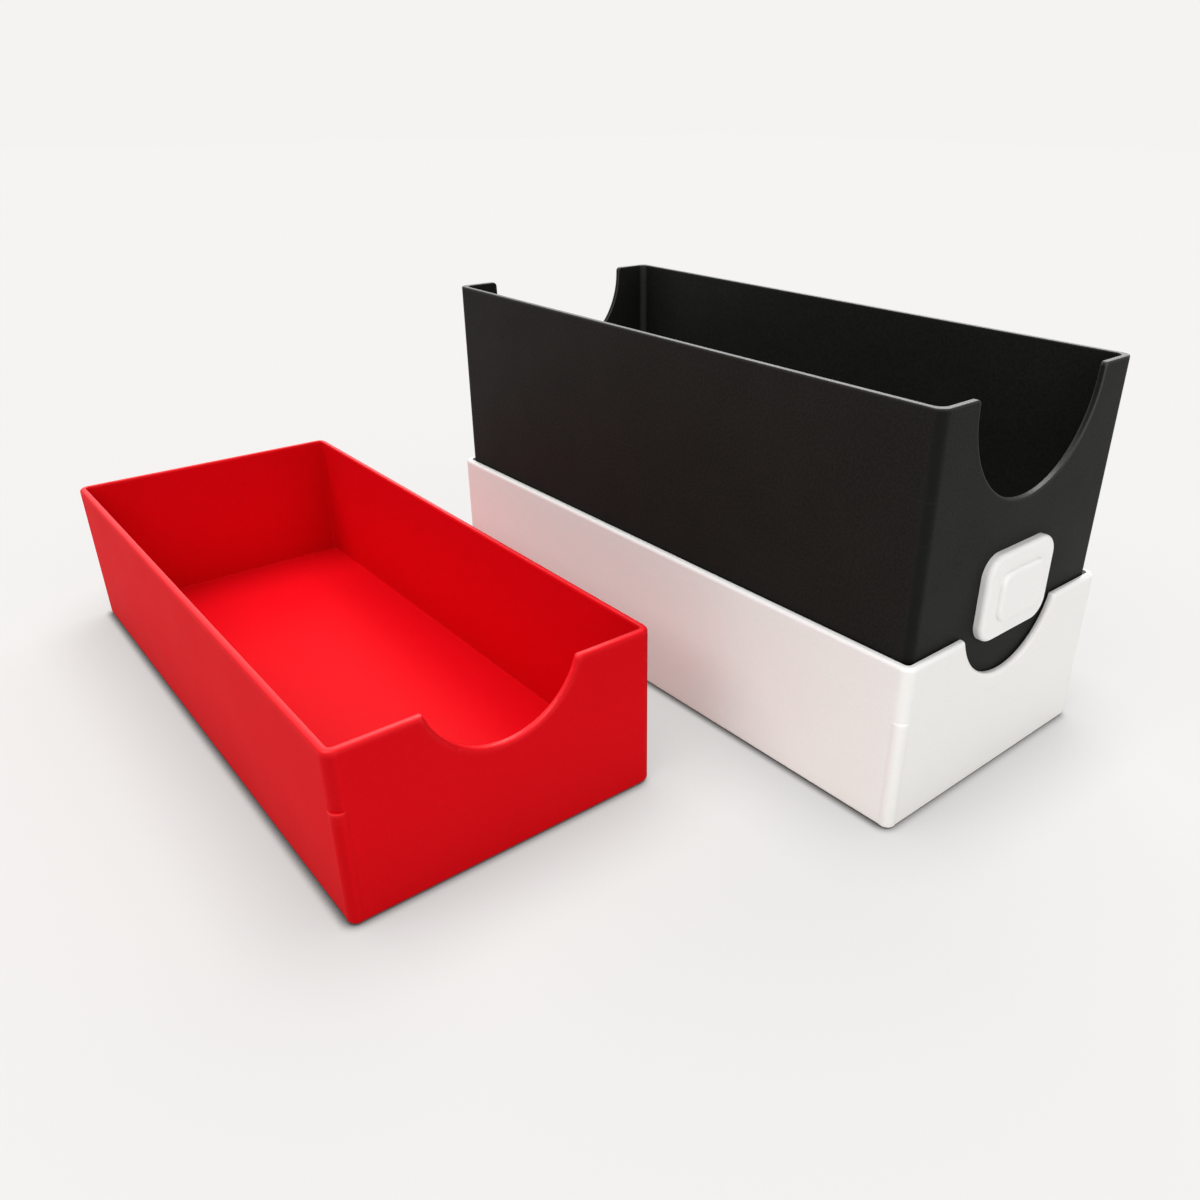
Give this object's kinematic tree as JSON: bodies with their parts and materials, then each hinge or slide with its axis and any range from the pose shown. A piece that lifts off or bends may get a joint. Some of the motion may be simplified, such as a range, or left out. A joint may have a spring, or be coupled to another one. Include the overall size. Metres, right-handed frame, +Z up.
{
  "type": "toploader storage box",
  "caption": "Long card storage box: a black bin with finger notches stands in a white tray, and a red lid lies upside down beside it.",
  "frame": {"origin": "the middle of the base tray's underside, on the surface that the box stands on", "axes": "+X to the right across the box, +Y from the front wall with the plate and scoop towards the back, +Z up out of the open side"},
  "size_m": [0.2133, 0.2672, 0.1123],
  "materials": {
    "white_shell": "satin white, faint grain",
    "white_plate": "satin white",
    "black_bin": "matte black, fine grain",
    "red_shell": "satin red, faint grain"
  },
  "bodies": {
    "tray": {"base_tray": "white_shell"},
    "bin": {"card_bin": "black_bin", "front_plate": "white_plate"},
    "lid": {"lid": "red_shell"}
  },
  "joints": [
    {"name": "bin_lift", "type": "slide", "parent": "tray", "child": "bin", "axis": [0, 0, 1], "range_m": [0, 0.055]},
    {"name": "lid_lift", "type": "slide", "parent": "tray", "child": "lid", "axis": [0, 0, 1], "range_m": [0, 0.13]}
  ]
}
